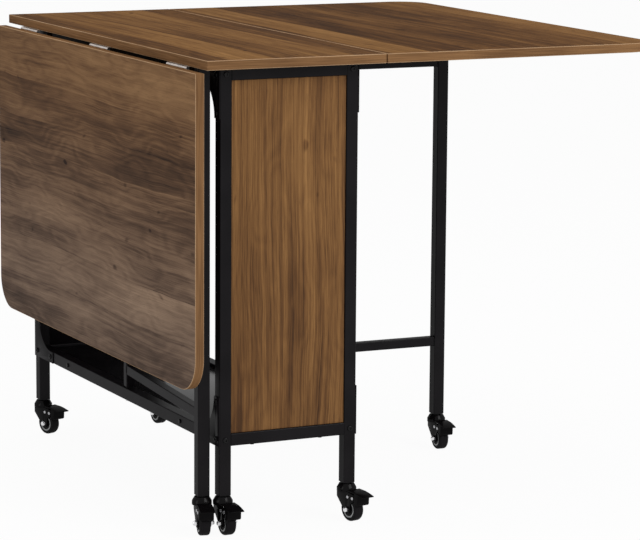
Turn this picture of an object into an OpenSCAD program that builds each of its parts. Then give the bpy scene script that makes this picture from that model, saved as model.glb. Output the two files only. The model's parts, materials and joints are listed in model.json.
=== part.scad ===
// Folding dining table on casters: a fixed centre section, two drop leaves
// and two swinging gates, each of which carries one raised leaf.
// Millimetres, Z up, floor at z = 0. The near end is at -Y. The leaf on the
// -X side hangs down, and the leaf on the +X side is up, on its open gate.

/* [Table top] */
// Height of the table top above the floor
table_h = 760; // [740:5:790]
// Length of the centre board and of both leaves
top_len = 880; // [840:10:920]
// Width of the fixed centre board
top_w = 310; // [300:1:330]
// Width of each drop leaf
leaf_w = 505; // [460:5:530]
// Thickness of the three top boards
board_t = 15; // [12:1:18]
// Gap at the seam between the centre board and a raised leaf
seam_gap = 2; // [2:0.5:3]
// Radius of the outer corners of a leaf
leaf_corner_r = 78; // [40:2:100]

/* [Frame] */
// Distance from the side of the centre board to the outer face of the posts
side_inset = 35; // [32:0.5:38]
// Distance from the end of the top to the outer face of the posts
end_inset = 29; // [24:1:34]
// Side of the square frame tube
tube = 20; // [19:0.5:21]
// Wall of the frame tube
wall = 1.2; // [1:0.1:1.5]
// Height of the underside of the lower rails
low_rail_z = 142; // [125:1:160]
// Thickness of the end panels
panel_t = 12; // [10:1:14]
// How far an end panel is set back from the face of its frame
panel_set = 3; // [1:0.5:4]
// Thickness of the bottom shelf
shelf_t = 12; // [10:1:14]
// Distance of the shelf's top below the top of the lower rails
shelf_drop = 5; // [3:0.5:5]

/* [Corner plates] */
// Thickness of a corner plate
plate_t = 1.5; // [1:0.25:2]
// Length of a corner plate along the rail
plate_rail_arm = 90; // [84:1:100]
// Length of a corner plate along the post
plate_post_arm = 80; // [80:1:90]
// Radius of the hollow curve of a corner plate
plate_curve_r = 60; // [50:1:60]

/* [Gates] */
// Side of the thin square tube of the gates
gate_tube = 16; // [14:0.5:16]
// Distance of a gate's pivot from the middle of its side rail
pivot_y = 12; // [8:1:16]
// Angle of the open gate to the frame's square position
gate_open = -1.5; // [-2:0.5:0]
// Height of the underside of the lower gate bar
gate_low_z = 186; // [184:2:220]
// Distance from the upper gate bar's top to the upper rail
gate_high_gap = 24; // [24:1:40]
// Space between a folded leg and the bolt heads on the frame beside it
fold_gap = 7.5; // [7:0.5:8.5]
// How far a folded leg stands back from the end post beside it
fold_back = 12; // [10:1:14]
// Diameter of a gate's pivot pins
pivot_d = 8; // [6:1:8]

/* [Hinges] */
// Length of one hinge
hinge_len = 80; // [60:2:88]
// Space along the table between a folded leg and an outer hinge
hinge_leg_gap = 11; // [11:1:20]
// Space between a hinge plate and the frame's side
hinge_frame_gap = 7; // [6:0.5:12]
// Diameter of a hinge pin
pin_d = 3; // [2.5:0.25:3.5]

/* [Casters] */
// Height of the casters under the tubes
caster_h = 62; // [61:0.5:66]
// Diameter of a caster wheel
wheel_d = 40; // [38:0.5:41]
// Width of a caster wheel
wheel_w = 17; // [15:0.5:17]
// Distance of a wheel's axle behind its swivel axis
trail = 16; // [15.5:0.5:16.5]
// Diameter of a wheel axle
axle_d = 6; // [5:0.5:7]
// Diameter of a caster's swivel stem
stem_d = 8; // [6:0.5:8.5]

/* [Fits] */
// Clearance all round a turning shaft in its bore
run_fit = 0.05; // [0.02:0.01:0.1]
// Play along the axis beside a turning part
end_play = 0.3; // [0.1:0.05:0.5]

/* [Hidden] */
$fn = 40;

// Outer corner radius of the square tubes
tube_r = 1.5;

// Boards
under_z = table_h - board_t;
end_y = top_len / 2;
raised_edge_gap = 0.5;

// Hinges: the pin lies under the seam, and the leaf hangs clear of it
pin_x = top_w / 2 + seam_gap - raised_edge_gap;
pin_drop = 3.5;
pin_z = under_z - pin_drop;
knuckle_r = 3;
knuckle_gap = 0.25;
knuckle_count = 5;
knuckle_len = (hinge_len - (knuckle_count - 1) * knuckle_gap) / knuckle_count;
hinge_plate_t = 1.5;
strip_x = 3.4;
tab_low = 1.5;
hang_in_x = pin_x + pin_drop;
hang_out_x = hang_in_x + board_t;
raised_edge_x = pin_x + raised_edge_gap + leaf_w;
centre_shift = (raised_edge_x - hang_out_x) / 2;

// Frame
face_x = top_w / 2 - side_inset;
post_x = face_x - tube / 2;
post_y = end_y - end_inset - tube / 2;
bay_x = post_x - tube / 2;
bay_y = post_y - tube / 2;
face_y = post_y + tube / 2;
hinge_reach = pin_x - face_x - hinge_frame_gap;
fold_y = post_y - fold_back;
hinge_y = fold_y - tube / 2 - hinge_leg_gap - hinge_len / 2;
hinge_rows = [-hinge_y, 0, hinge_y];
low_rail_top = low_rail_z + tube;
high_rail_z = under_z - tube;
shelf_top = low_rail_top - shelf_drop;
panel_y = face_y - panel_set - panel_t / 2;

// Fasteners
screw_r = 2;
bolt_head_r = 4.5;
bolt_head_t = 2.2;
bolt_len = 6;
plate_bolt_in = 12;
plate_bolt_side = 11;
plate_bolt_far_post = plate_post_arm - 8;
plate_bolt_far_rail = plate_rail_arm - 12.5;
shelf_screw_y = bay_y - 140;
top_screw_rows = [-3, -1, 1, 3] * bay_y * 0.23;
panel_screw_x = bay_x * 0.6;
screw_bite = 12;
wood_head_r = 3.5;
wood_head_t = 2;

// Gates
washer_t = 2.5;
washer_r = 7;
pivot_r = pivot_d / 2;
pivot_bite = 18;
pin_head_r = 6.5;
pin_head_t = 3;
hinge_post_z0 = low_rail_top + washer_t;
hinge_post_z1 = high_rail_z - washer_t - end_play;
plug_len = 24;
gate_high_z = high_rail_z - gate_high_gap - gate_tube;
fold_x = face_x + plate_t + bolt_head_t + fold_gap + tube / 2;
fold_angle = atan2(fold_y - pivot_y, fold_x - post_x);
gate_r = norm([fold_y - pivot_y, fold_x - post_x]);
pad_t = 2.7;
leg_top = under_z - end_play - pad_t;
insert_len = 32;

// Casters, in their own frame: stem on the z axis, wheel trailing to +x
wheel_r = wheel_d / 2;
tread_shoulder = 2;
side_recess = 1.5;
recess_r0 = 8;
recess_r1 = 14.5;
stem_r = stem_d / 2;
collar_r = 8;
collar_t = 2;
cap_r = 16;
cap_top_r = 12;
cap_z = caster_h - 13;
cap_rim = 4;
fork_top_t = 2;
fork_side_t = 2.2;
fork_in = wheel_w / 2 + 0.8;
fork_out = fork_in + fork_side_t;
fork_front = -11;
fork_back = 17;
boss_r = 7;
stem_head_r = 7;
stem_head_t = 3;
stem_bite = 26;
axle_r = axle_d / 2;
nut_r = 4.6;
nut_t = 6;
brake_x = trail + 14;
brake_z = wheel_r + 20.5;
brake_pin_r = 2;
brake_boss_r = 3.6;
brake_half = fork_in - 0.5;
rivet_x = trail + 2;
rivet_z = wheel_r + 21;
rivet_head_t = 1;
pedal_half = 12;
pedal_reach = 41;
pedal_top = cap_z + 3.2;

// Swivel directions of the casters at rest, in degrees from +X
dir_near_left = -90;
dir_near_right = -79;
dir_far_left = -71;
dir_far_right = -84;
dir_gate_left = -104;
dir_gate_right = -93;

// The near pedals reach past the end of the top
near_reach = max([for (d = [dir_near_left, dir_near_right])
  (trail + pedal_reach) * sin(-d) + pedal_half * abs(cos(d))]);
end_shift = (post_y + near_reach - end_y) / 2;

// Colours
walnut = [0.42, 0.30, 0.21];
frame_black = [0.11, 0.10, 0.11];
shelf_black = [0.07, 0.07, 0.08];
steel = [0.72, 0.72, 0.73];
black_plastic = [0.09, 0.09, 0.09];
tyre_black = [0.06, 0.06, 0.06];

// A box between two opposite corners.
module span(a, b) {
  translate([min(a.x, b.x), min(a.y, b.y), min(a.z, b.z)])
    cube([abs(b.x - a.x), abs(b.y - a.y), abs(b.z - a.z)]);
}

// A rectangle between two opposite corners.
module span_2d(a, b) {
  translate([min(a.x, b.x), min(a.y, b.y)])
    square([abs(b.x - a.x), abs(b.y - a.y)]);
}

// A square with rounded corners, centred.
module round_square(side, r) {
  square([side, side - 2 * r], center = true);
  square([side - 2 * r, side], center = true);
  for (x = [-1, 1], y = [-1, 1])
    translate([x, y] * (side / 2 - r)) circle(r);
}

// A hollow square tube along z, from z0 to z1, centred on the axis.
module tube_z(side, z0, z1) {
  translate([0, 0, z0]) linear_extrude(z1 - z0) difference() {
    round_square(side, tube_r);
    square(side - 2 * wall, center = true);
  }
}

// The same tube along x and along y, centred on the origin.
module tube_x(side, len) {
  rotate([0, 90, 0]) tube_z(side, -len / 2, len / 2);
}
module tube_y(side, len) {
  rotate([90, 0, 0]) tube_z(side, -len / 2, len / 2);
}

// A round rod of radius r between two points on one axis direction.
module rod_x(x0, x1, r) {
  translate([min(x0, x1), 0, 0]) rotate([0, 90, 0]) cylinder(h = abs(x1 - x0), r = r);
}
module rod_y(y0, y1, r) {
  translate([0, max(y0, y1), 0]) rotate([90, 0, 0]) cylinder(h = abs(y1 - y0), r = r);
}
module rod_z(z0, z1, r) {
  translate([0, 0, min(z0, z1)]) cylinder(h = abs(z1 - z0), r = r);
}

// The screws that run up through the rails into the centre board.
module at_top_screws() {
  for (x = [-post_x, post_x], y = top_screw_rows)
    translate([x, y, high_rail_z]) children();
}

// The fixed centre board, with pilot holes for its screws underneath.
module centre_top() color(walnut) {
  difference() {
    span([-top_w / 2, -end_y, under_z], [top_w / 2, end_y, table_h]);
    at_top_screws() rod_z(0, tube + screw_bite, screw_r);
  }
}

// One upright post of the frame, with its screw and bolt holes.
// sx and sy say which corner of the table it stands in.
module post(sx, sy) color(frame_black) {
  difference() {
    translate([sx * post_x, sy * post_y, 0]) tube_z(tube, caster_h, under_z);
    corner_holes(sx, sy);
    for (z = [low_rail_z + tube / 2, under_z - tube / 2])
      translate([sx * post_x, 0, z]) rod_y(sy * bay_y + sy * tube / 2, sy * face_y, screw_r);
  }
}

// The bolt holes of the two corner plates of one corner.
module corner_holes(sx, sy) {
  for (p = plate_bolts)
    for (z = [low_rail_z + p.y, under_z - p.y])
      translate([0, sy * (face_y - p.x), z])
        rod_x(sx * (face_x - bolt_len), sx * (face_x + plate_t), screw_r);
}

// Bolt places of a corner plate: along the rail, and along the post.
plate_bolts = [
  [plate_bolt_in, plate_bolt_side],
  [plate_bolt_in, plate_bolt_far_post],
  [plate_bolt_far_rail, plate_bolt_side]
];

// The lower and the upper rail across one end, welded between two posts.
module end_rails(sy) color(frame_black) {
  difference() {
    for (z = [low_rail_z, high_rail_z])
      translate([0, sy * post_y, z + tube / 2]) tube_x(tube, 2 * bay_x);
    for (x = [-panel_screw_x, panel_screw_x])
      translate([x, sy * panel_y, low_rail_z]) rod_z(0, tube, screw_r);
  }
}

// The lower and the upper rail along one side, with the gate's pivot holes.
module side_rails(sx) color(frame_black) {
  difference() {
    for (z = [low_rail_z, high_rail_z])
      translate([sx * post_x, 0, z + tube / 2]) tube_y(tube, 2 * bay_y);
    for (sy = [-1, 1]) {
      corner_holes(sx, sy);
      translate([0, sy * shelf_screw_y, low_rail_z + tube / 2])
        rod_x(sx * bay_x, sx * face_x, screw_r);
    }
    at_top_screws() rod_z(0, tube, screw_r);
    translate([sx * post_x, sx * pivot_y, low_rail_z])
      rod_z(0, high_rail_z - low_rail_z + wall, pivot_r);
  }
}

// Outline of one corner plate. su and sv turn it for its corner.
module corner_plate_2d(su, sv) {
  difference() {
    union() {
      span_2d([0, 0], [su * plate_rail_arm, sv * tube]);
      difference() {
        span_2d([0, 0], [su, sv] * plate_post_arm);
        translate([su, sv] * (tube + plate_curve_r)) circle(plate_curve_r);
        span_2d([su, sv] * (tube + plate_curve_r), [su, sv] * (plate_post_arm + 1));
        span_2d([su * tube, sv * (tube + plate_curve_r)],
          [su * (plate_post_arm + 1), sv * (plate_post_arm + 1)]);
        span_2d([su * (tube + plate_curve_r), sv * tube],
          [su * (plate_post_arm + 1), sv * (plate_post_arm + 1)]);
      }
    }
    for (p = plate_bolts) translate([su * p.x, sv * p.y]) circle(screw_r);
  }
}

// The eight plates that stiffen the frame's corners, on its two long sides.
module corner_plates() color(frame_black) {
  for (sx = [-1, 1], sy = [-1, 1], sv = [-1, 1])
    translate([sx > 0 ? face_x : -face_x - plate_t, sy * face_y,
      sv > 0 ? low_rail_z : under_z])
      rotate([90, 0, 90]) linear_extrude(plate_t) corner_plate_2d(-sy, sv);
}

// One wooden end panel, framed by posts and rails.
module end_panel(sy) color(walnut) {
  difference() {
    span([-bay_x, sy * panel_y - panel_t / 2, low_rail_top],
      [bay_x, sy * panel_y + panel_t / 2, high_rail_z]);
    for (x = [-panel_screw_x, panel_screw_x])
      translate([x, sy * panel_y, low_rail_top]) rod_z(0, screw_bite, screw_r);
  }
}

// The bottom shelf between the lower rails.
module shelf() color(shelf_black) {
  difference() {
    span([-bay_x, -bay_y, shelf_top - shelf_t], [bay_x, bay_y, shelf_top]);
    for (sx = [-1, 1], y = [-shelf_screw_y, shelf_screw_y])
      translate([0, y, low_rail_z + tube / 2])
        rod_x(sx * (bay_x - screw_bite), sx * bay_x, screw_r);
  }
}

// A round-headed screw along x: head outside the face, shank inwards.
module screw_x(s, face, len, head_r, head_t) {
  rod_x(s * (face - len), s * face, screw_r);
  rod_x(s * face, s * (face + head_t), head_r);
}

// The twenty-four bolts of the corner plates.
module frame_bolts() color(frame_black) {
  for (sx = [-1, 1], sy = [-1, 1], p = plate_bolts,
    z = [low_rail_z + p.y, under_z - p.y])
    translate([0, sy * (face_y - p.x), z])
      screw_x(sx, face_x + plate_t, bolt_len + plate_t, bolt_head_r, bolt_head_t);
}

// The screws on the end faces of the posts.
module end_screws() color(frame_black) {
  for (sx = [-1, 1], sy = [-1, 1], z = [low_rail_z + tube / 2, under_z - tube / 2])
    translate([sx * post_x, 0, z]) {
      rod_y(sy * (face_y - bolt_len), sy * face_y, screw_r);
      rod_y(sy * face_y, sy * (face_y + bolt_head_t), bolt_head_r);
    }
}

// The wood screws of the centre board, the shelf and the end panels.
module board_screws() color(frame_black) {
  at_top_screws() {
    rod_z(0, tube + screw_bite, screw_r);
    rod_z(-wood_head_t, 0, wood_head_r);
  }
  for (sx = [-1, 1], y = [-shelf_screw_y, shelf_screw_y])
    translate([0, y, low_rail_z + tube / 2])
      screw_x(sx, face_x, tube + screw_bite, wood_head_r, wood_head_t);
  for (x = [-panel_screw_x, panel_screw_x], sy = [-1, 1])
    translate([x, sy * panel_y, low_rail_z]) {
      rod_z(0, tube + screw_bite, screw_r);
      rod_z(-wood_head_t, 0, wood_head_r);
    }
}

// One hinge plate, in the hinge's frame: pin along y, plate to +x, board above.
// first is the number of its first knuckle; it has every second one.
module hinge_plate(first, bore_r) {
  difference() {
    union() {
      span([strip_x, -hinge_len / 2, pin_drop - hinge_plate_t],
        [hinge_reach, hinge_len / 2, pin_drop]);
      for (k = [first : 2 : knuckle_count - 1]) {
        y0 = -hinge_len / 2 + k * (knuckle_len + knuckle_gap);
        rod_y(y0, y0 + knuckle_len, knuckle_r);
        span([0, y0, tab_low], [strip_x + tab_low, y0 + knuckle_len, knuckle_r]);
      }
    }
    rod_y(-hinge_len, hinge_len, bore_r);
  }
}

// The six hinge plates under the centre board.
module top_hinge_plates() color(steel) {
  for (sx = [-1, 1], y = hinge_rows)
    translate([sx * pin_x, y, pin_z]) rotate(sx > 0 ? 180 : 0)
      hinge_plate(0, pin_d / 2);
}

// The six hinge pins.
module hinge_pins() color(steel) {
  for (sx = [-1, 1], y = hinge_rows)
    translate([sx * pin_x, y, pin_z]) rod_y(-hinge_len / 2, hinge_len / 2, pin_d / 2);
}

// One leaf in the hinge's frame, reaching to +x.
module leaf() {
  x0 = raised_edge_gap;
  x1 = raised_edge_gap + leaf_w;
  translate([0, 0, pin_drop]) linear_extrude(board_t) {
    span_2d([x0, -end_y], [x1 - leaf_corner_r, end_y]);
    span_2d([x0, -end_y + leaf_corner_r], [x1, end_y - leaf_corner_r]);
    for (s = [-1, 1])
      translate([x1 - leaf_corner_r, s * (end_y - leaf_corner_r)]) circle(leaf_corner_r);
  }
}

// The place of the hanging leaf, and of the raised leaf.
module at_left_leaf() {
  translate([-pin_x, 0, pin_z]) rotate([0, -90, 0]) rotate(180) children();
}
module at_right_leaf() {
  translate([pin_x, 0, pin_z]) children();
}

module left_leaf() color(walnut) at_left_leaf() leaf();
module right_leaf() color(walnut) at_right_leaf() leaf();

// The three hinge plates on one leaf.
module leaf_hinge_plates() {
  for (y = hinge_rows) translate([0, y, 0]) hinge_plate(1, pin_d / 2 + run_fit);
}
module left_leaf_hinge_plates() color(steel) at_left_leaf() leaf_hinge_plates();
module right_leaf_hinge_plates() color(steel) at_right_leaf() leaf_hinge_plates();

// The pins on which a gate turns: one up through the lower rail, and one
// down through the bottom wall of the upper rail.
module pivot_pins() color(steel) {
  for (s = [-1, 1]) translate([s * post_x, s * pivot_y, 0]) {
    rod_z(low_rail_z, hinge_post_z0 + pivot_bite, pivot_r);
    rod_z(low_rail_z - pin_head_t, low_rail_z, pin_head_r);
    rod_z(hinge_post_z1 - pivot_bite, high_rail_z + wall, pivot_r);
    rod_z(high_rail_z + wall, high_rail_z + wall + pin_head_t, pin_head_r);
  }
}

// The washers between the gates and the rails.
module pivot_washers() color(black_plastic) {
  for (s = [-1, 1]) translate([s * post_x, s * pivot_y, 0])
    for (z = [low_rail_top, high_rail_z - washer_t])
      difference() {
        rod_z(z, z + washer_t, washer_r);
        rod_z(z, z + washer_t, pivot_r);
      }
}

// The place of each gate: open on the +X side, folded on the -X side.
module at_right_gate() {
  translate([post_x, pivot_y, 0]) rotate(gate_open) children();
}
module at_left_gate() {
  translate([-post_x, -pivot_y, 0]) rotate(180 + fold_angle) children();
}

// The pieces of a gate, with the pivot on the z axis and the leg to +x.
module gate_leg() color(frame_black) {
  translate([gate_r, 0, 0]) tube_z(tube, caster_h, leg_top);
}
module gate_post() color(frame_black) tube_z(gate_tube, hinge_post_z0, hinge_post_z1);
module gate_bars() color(frame_black) {
  x0 = gate_tube / 2;
  x1 = gate_r - tube / 2;
  for (z = [gate_low_z, gate_high_z])
    translate([(x0 + x1) / 2, 0, z + gate_tube / 2]) tube_x(gate_tube, x1 - x0);
}
module gate_plugs() color(black_plastic) {
  for (z = [hinge_post_z0, hinge_post_z1 - plug_len])
    difference() {
      translate([0, 0, z]) linear_extrude(plug_len)
        square(gate_tube - 2 * wall, center = true);
      rod_z(z, z + plug_len, pivot_r + run_fit);
    }
  translate([gate_r, 0, 0]) {
    tube_insert();
    translate([0, 0, leg_top]) linear_extrude(pad_t) round_square(tube, tube_r);
    translate([0, 0, leg_top - plug_len]) linear_extrude(plug_len)
      square(tube - 2 * wall, center = true);
  }
}
module gate_stem() color(steel) translate([gate_r, 0, 0]) caster_stem();

module gate_left_leg() at_left_gate() gate_leg();
module gate_left_post() at_left_gate() gate_post();
module gate_left_bars() at_left_gate() gate_bars();
module gate_left_plugs() at_left_gate() gate_plugs();
module gate_left_stem() at_left_gate() gate_stem();
module gate_right_leg() at_right_gate() gate_leg();
module gate_right_post() at_right_gate() gate_post();
module gate_right_bars() at_right_gate() gate_bars();
module gate_right_plugs() at_right_gate() gate_plugs();
module gate_right_stem() at_right_gate() gate_stem();

// The plastic insert in the foot of a tube, which holds a caster's stem.
module tube_insert() {
  difference() {
    translate([0, 0, caster_h]) linear_extrude(insert_len)
      square(tube - 2 * wall, center = true);
    rod_z(caster_h, caster_h + stem_bite, stem_r);
  }
}

// A caster's stem: head inside the fork, collar under the tube.
module caster_stem() {
  head_z = cap_z - fork_top_t;
  rod_z(head_z, caster_h + stem_bite, stem_r);
  rod_z(head_z - stem_head_t, head_z, stem_head_r);
  rod_z(caster_h - collar_t, caster_h, collar_r);
}

// The four feet of the frame's posts.
module at_feet() {
  for (sx = [-1, 1], sy = [-1, 1]) translate([sx * post_x, sy * post_y, 0]) children();
}
module tube_inserts() color(black_plastic) at_feet() tube_insert();
module caster_stems() color(steel) at_feet() caster_stem();

// One side plate of a fork, as an outline in x and z.
module fork_side_2d() {
  polygon([
    [fork_front, cap_z], [fork_front, cap_z - 11], [trail - 5.6, wheel_r - 4.2],
    [trail, wheel_r], [trail + boss_r, wheel_r], [trail + 8.5, wheel_r + 9],
    [trail + 13, wheel_r + 13.5], [trail + 17.8, wheel_r + 16], [trail + 17.8, cap_z - 2.6],
    [trail + 1, cap_z]
  ]);
  translate([trail, wheel_r]) circle(boss_r);
}

// The turning fork of a caster: two side plates under a round bearing cap.
module fork() color(frame_black) {
  difference() {
    union() {
      for (y = [-fork_out, fork_in])
        translate([0, y + fork_side_t, 0]) rotate([90, 0, 0])
          linear_extrude(fork_side_t) fork_side_2d();
      span([fork_front, -fork_out, cap_z - fork_top_t], [fork_back, fork_out, cap_z]);
      rod_z(cap_z - fork_top_t, cap_z + cap_rim, cap_r);
      translate([0, 0, cap_z + cap_rim])
        cylinder(h = caster_h - collar_t - cap_z - cap_rim, r1 = cap_r, r2 = cap_top_r);
    }
    rod_z(0, caster_h, stem_r + run_fit);
    translate([trail, 0, wheel_r]) rod_y(-fork_out, fork_out, axle_r);
    translate([brake_x, 0, brake_z]) rod_y(-fork_out, fork_out, brake_pin_r);
    translate([rivet_x, 0, rivet_z]) rod_y(-fork_out, fork_out, brake_pin_r);
  }
}

// A caster wheel with sloped shoulders, sunk sides and a raised hub.
module wheel() color(tyre_black) {
  half = wheel_w / 2;
  translate([trail, 0, wheel_r]) difference() {
    union() {
      rod_y(-half + tread_shoulder, half - tread_shoulder, wheel_r);
      for (s = [-1, 1])
        translate([0, s * (half - tread_shoulder), 0]) rotate([-s * 90, 0, 0])
          cylinder(h = tread_shoulder, r1 = wheel_r, r2 = wheel_r - tread_shoulder);
      rod_y(-fork_in + end_play / 3, fork_in - end_play / 3, recess_r0);
    }
    for (s = [-1, 1]) difference() {
      rod_y(s * (half - side_recess), s * half, recess_r1);
      rod_y(s * (half - side_recess), s * half, recess_r0);
    }
    rod_y(-fork_in, fork_in, axle_r + run_fit);
  }
}

// The bright fixings of a fork: wheel axle, brake pin and two rivets.
module fork_fixings() color(steel) {
  translate([trail, 0, wheel_r]) {
    rod_y(-fork_out, fork_out, axle_r);
    for (s = [-1, 1]) rod_y(s * fork_out, s * (fork_out + nut_t), nut_r);
  }
  translate([brake_x, 0, brake_z]) {
    rod_y(-fork_out, fork_out, brake_pin_r);
    for (s = [-1, 1]) rod_y(s * fork_out, s * (fork_out + rivet_head_t), brake_pin_r + 1);
  }
  translate([rivet_x, 0, rivet_z]) for (s = [-1, 1]) {
    rod_y(s * fork_in, s * fork_out, brake_pin_r);
    rod_y(s * fork_out, s * (fork_out + rivet_head_t), brake_pin_r + 1);
  }
}

// The brake pedal: a shoe between the fork's sides on the brake pin, and a
// wide hood over and behind the fork that ends in a thin lip.
module pedal() color(black_plastic) {
  difference() {
    union() {
      translate([0, brake_half, 0]) rotate([90, 0, 0]) linear_extrude(2 * brake_half) {
        translate([brake_x, brake_z]) circle(brake_boss_r);
        polygon([
          [brake_x - 7.5, pedal_top - 2.4], [brake_x - 5.5, brake_z + 3.6],
          [brake_x - 3.3, brake_z - 1], [brake_x + 2.6, brake_z - 4.4],
          [trail + 20, wheel_r + 9.5], [trail + 24, wheel_r + 9.5],
          [trail + 27, wheel_r + 12], [trail + 27, pedal_top - 2.4]
        ]);
      }
      translate([0, pedal_half, 0]) rotate([90, 0, 0]) linear_extrude(2 * pedal_half)
        polygon([
          [trail + 1.4, pedal_top - 2.6], [trail + 1.4, pedal_top - 0.6],
          [trail + 3, pedal_top], [trail + 20, pedal_top - 0.8],
          [trail + 30, pedal_top - 2.6], [trail + pedal_reach, pedal_top - 5.4],
          [trail + pedal_reach, pedal_top - 7], [trail + 29.4, pedal_top - 5],
          [trail + 28.4, wheel_r + 11.5], [trail + 26, wheel_r + 9.5],
          [trail + 21, wheel_r + 12], [trail + 19.2, wheel_r + 14],
          [trail + 19.2, pedal_top - 2.6]
        ]);
    }
    translate([brake_x, 0, brake_z]) rod_y(-pedal_half, pedal_half, brake_pin_r + run_fit);
  }
}

// The place of each caster, turned to its own direction.
module at_near_left() translate([-post_x, -post_y, 0]) rotate(dir_near_left) children();
module at_near_right() translate([post_x, -post_y, 0]) rotate(dir_near_right) children();
module at_far_left() translate([-post_x, post_y, 0]) rotate(dir_far_left) children();
module at_far_right() translate([post_x, post_y, 0]) rotate(dir_far_right) children();
module at_gate_left() translate([-fold_x, -fold_y, 0]) rotate(dir_gate_left) children();
module at_gate_right() {
  translate([post_x, pivot_y, 0] + gate_r * [cos(gate_open), sin(gate_open), 0])
    rotate(dir_gate_right) children();
}

// Everything stands so that the middle of its length and width is at the origin.
translate([-centre_shift, end_shift, 0]) {
  centre_top();
  post(-1, -1);  // near_left_post
  post(1, -1);  // near_right_post
  post(-1, 1);  // far_left_post
  post(1, 1);  // far_right_post
  end_rails(-1);  // near_end_rails
  end_rails(1);  // far_end_rails
  side_rails(-1);  // left_side_rails
  side_rails(1);  // right_side_rails
  corner_plates();
  end_panel(-1);  // near_end_panel
  end_panel(1);  // far_end_panel
  shelf();
  frame_bolts();
  end_screws();
  board_screws();
  top_hinge_plates();
  hinge_pins();
  caster_stems();
  tube_inserts();
  pivot_pins();
  pivot_washers();
  left_leaf();
  left_leaf_hinge_plates();
  right_leaf();
  right_leaf_hinge_plates();
  gate_left_leg();
  gate_left_post();
  gate_left_bars();
  gate_left_plugs();
  gate_left_stem();
  gate_right_leg();
  gate_right_post();
  gate_right_bars();
  gate_right_plugs();
  gate_right_stem();
  at_near_left() fork();  // near_left_fork
  at_near_left() wheel();  // near_left_wheel
  at_near_left() pedal();  // near_left_pedal
  at_near_left() fork_fixings();  // near_left_axle
  at_near_right() fork();  // near_right_fork
  at_near_right() wheel();  // near_right_wheel
  at_near_right() pedal();  // near_right_pedal
  at_near_right() fork_fixings();  // near_right_axle
  at_far_left() fork();  // far_left_fork
  at_far_left() wheel();  // far_left_wheel
  at_far_left() pedal();  // far_left_pedal
  at_far_left() fork_fixings();  // far_left_axle
  at_far_right() fork();  // far_right_fork
  at_far_right() wheel();  // far_right_wheel
  at_far_right() pedal();  // far_right_pedal
  at_far_right() fork_fixings();  // far_right_axle
  at_gate_left() fork();  // gate_left_fork
  at_gate_left() wheel();  // gate_left_wheel
  at_gate_left() pedal();  // gate_left_pedal
  at_gate_left() fork_fixings();  // gate_left_axle
  at_gate_right() fork();  // gate_right_fork
  at_gate_right() wheel();  // gate_right_wheel
  at_gate_right() pedal();  // gate_right_pedal
  at_gate_right() fork_fixings();  // gate_right_axle
}
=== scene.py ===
# %% [markdown]
# # A folding dining table on casters
# The table stands as in a shop photograph: its right leaf is up on a swinging
# gate, and its left leaf hangs. The engineering model comes in as a fixed
# frame, and this script gives it finishes, rounded edges and small details.

import json
import math

import bmesh
import bpy
from mathutils import Matrix, Vector

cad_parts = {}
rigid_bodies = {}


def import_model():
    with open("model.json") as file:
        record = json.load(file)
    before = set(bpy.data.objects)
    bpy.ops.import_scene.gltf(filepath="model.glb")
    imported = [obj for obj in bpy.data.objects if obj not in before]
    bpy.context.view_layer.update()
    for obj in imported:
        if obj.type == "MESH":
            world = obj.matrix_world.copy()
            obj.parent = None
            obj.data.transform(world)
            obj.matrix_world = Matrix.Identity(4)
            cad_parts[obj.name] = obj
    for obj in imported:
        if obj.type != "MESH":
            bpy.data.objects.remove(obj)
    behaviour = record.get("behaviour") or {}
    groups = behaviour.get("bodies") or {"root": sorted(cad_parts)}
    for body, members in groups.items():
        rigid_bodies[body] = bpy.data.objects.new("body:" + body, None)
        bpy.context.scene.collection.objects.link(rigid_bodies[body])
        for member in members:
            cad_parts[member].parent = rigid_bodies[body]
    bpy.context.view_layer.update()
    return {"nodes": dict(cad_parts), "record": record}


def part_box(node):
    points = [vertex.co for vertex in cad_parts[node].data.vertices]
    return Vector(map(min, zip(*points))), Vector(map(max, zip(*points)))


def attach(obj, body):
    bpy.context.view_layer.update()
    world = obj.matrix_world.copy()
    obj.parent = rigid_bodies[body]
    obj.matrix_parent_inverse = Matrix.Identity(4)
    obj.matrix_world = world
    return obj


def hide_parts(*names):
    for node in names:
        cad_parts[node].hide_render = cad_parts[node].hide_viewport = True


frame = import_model()

# %% [markdown]
# Lengths are in metres in Blender, while a maker thinks in millimetres, so one
# constant turns the one into the other. The record says which body each node
# belongs to, where the joints are, and which finish each node takes.

# %% Names, places and finishes from the record
MM = 0.001
record = frame["record"]
behaviour = record["behaviour"]
body_of_node = {
    node: body for body, nodes in behaviour["bodies"].items() for node in nodes
}
slot_of_node = {row["node"]: row["material_slot"] for row in record["subparts"]}
joints = {joint["name"]: joint for joint in behaviour["joints"]}
CASTERS = (
    "near_left", "near_right", "far_left", "far_right", "gate_left", "gate_right",
)

# %% [markdown]
# A finish is a small network of shader nodes. Written node by node it is hard
# to read, so one class wraps a socket and lets Python's own + - * / build the
# Math nodes. A second class holds the network, and has a single method that
# adds any other node. A third is the network of a material.


# %% Arithmetic on sockets, and networks of nodes
SEEING_RAYS = ("Is Camera Ray", "Is Glossy Ray", "Is Transmission Ray")


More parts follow.
